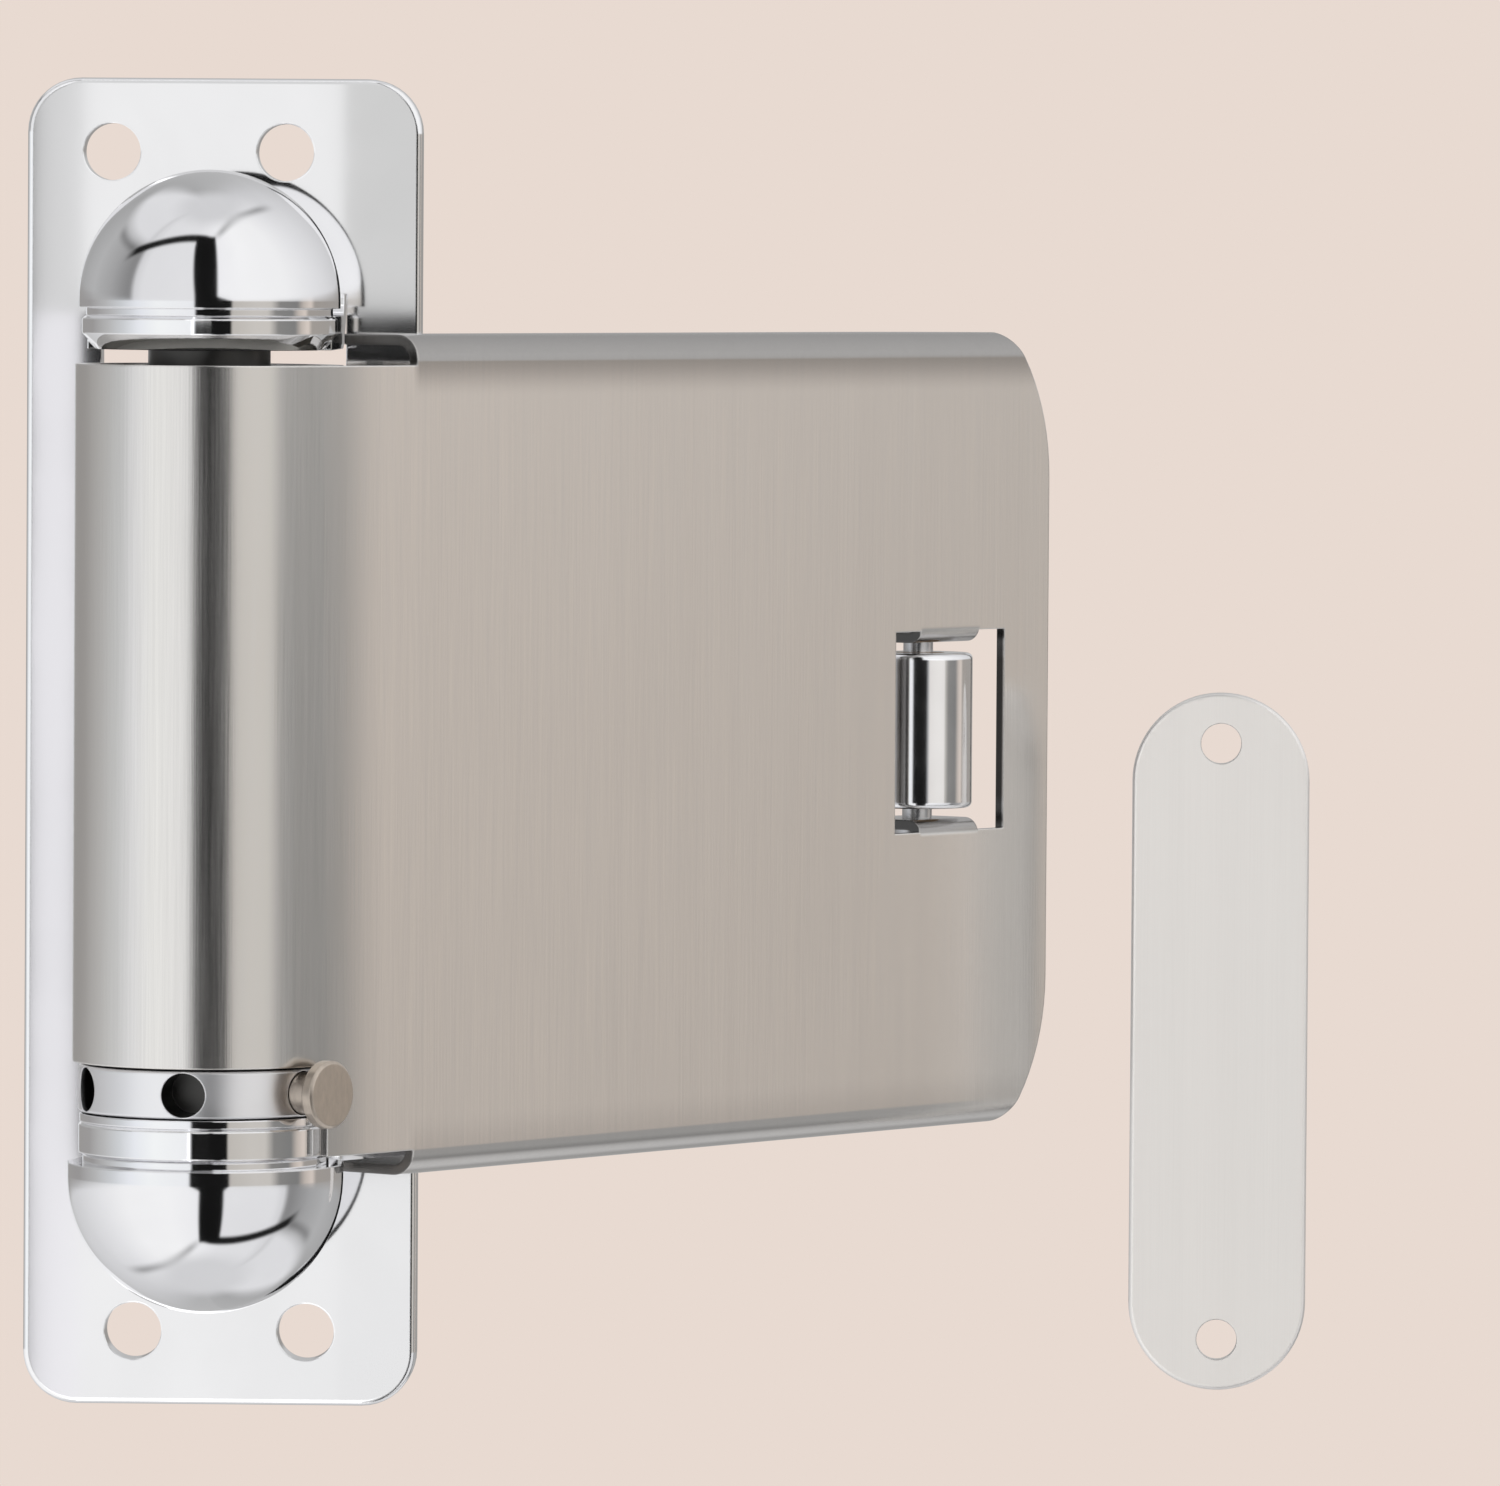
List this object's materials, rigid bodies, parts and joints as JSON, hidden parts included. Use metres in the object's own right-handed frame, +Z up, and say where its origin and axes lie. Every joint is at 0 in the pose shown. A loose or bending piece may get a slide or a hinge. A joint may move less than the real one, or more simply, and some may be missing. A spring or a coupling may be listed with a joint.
{
  "type": "roller arm spring door closer",
  "caption": "Surface-mounted spring door closer: a lugged plate carries a sprung barrel whose folded arm presses a door through a roller, with a rub plate for the door.",
  "frame": {"origin": "middle of the mounting plate's back face, which lies on the door frame", "axes": "+Y out of the plate's back face into the door frame, +Z up along the barrel, +X towards the arm"},
  "size_m": [0.1249, 0.0996, 0.132],
  "materials": {
    "chrome_plate": "bright plated sheet",
    "chrome": "polished",
    "satin_nickel": "satin nickel sheet",
    "satin_steel": "pale satin",
    "bright_steel": "turned",
    "dark_steel": "oiled dark",
    "spring_steel": "oil tempered",
    "nickel_bronze": "brushed",
    "bronze": "sintered",
    "nylon": "matt"
  },
  "bodies": {
    "bracket": {"mounting_plate": "chrome_plate", "spindle": "bright_steel", "upper_dome_cap": "chrome", "lower_dome_cap": "chrome", "cap_washers": "chrome", "lower_thrust_washer": "chrome", "spring_anchor": "dark_steel", "anchor_pin": "bright_steel", "torsion_spring": "spring_steel", "spring_guide": "nylon", "rub_plate": "satin_steel"},
    "arm": {"roller_arm": "satin_nickel", "upper_bush": "nylon", "lower_bush": "nylon", "roller_axle": "bright_steel"},
    "roller": {"roller": "chrome", "roller_bushes": "bronze"},
    "collar": {"winding_collar": "chrome", "collar_bush": "bronze"},
    "pin": {"tension_pin": "nickel_bronze"}
  },
  "joints": [
    {"name": "arm_swing", "type": "hinge", "parent": "bracket", "child": "arm", "pos_m": [0, -0.0217, 0], "axis": [0, 0, 1], "range_deg": [-120, 0], "stiffness_Nm_per_rad": 1, "springref_deg": 85.94, "deforming": ["torsion_spring"]},
    {"name": "collar_wind", "type": "hinge", "parent": "arm", "child": "collar", "pos_m": [0, -0.0217, 0], "axis": [0, 0, 1], "range_deg": [-60, 0], "stiffness_Nm_per_rad": 1, "springref_deg": 85.94, "deforming": ["torsion_spring"]},
    {"name": "pin_pull", "type": "slide", "parent": "collar", "child": "pin", "axis": [0.808, -0.5892, 0], "range_m": [0, 0.006]},
    {"name": "roller_spin", "type": "hinge", "parent": "arm", "child": "roller", "pos_m": [0.0662, 0.05243, -0.00045], "axis": [0, 0, 1], "continuous": true}
  ]
}
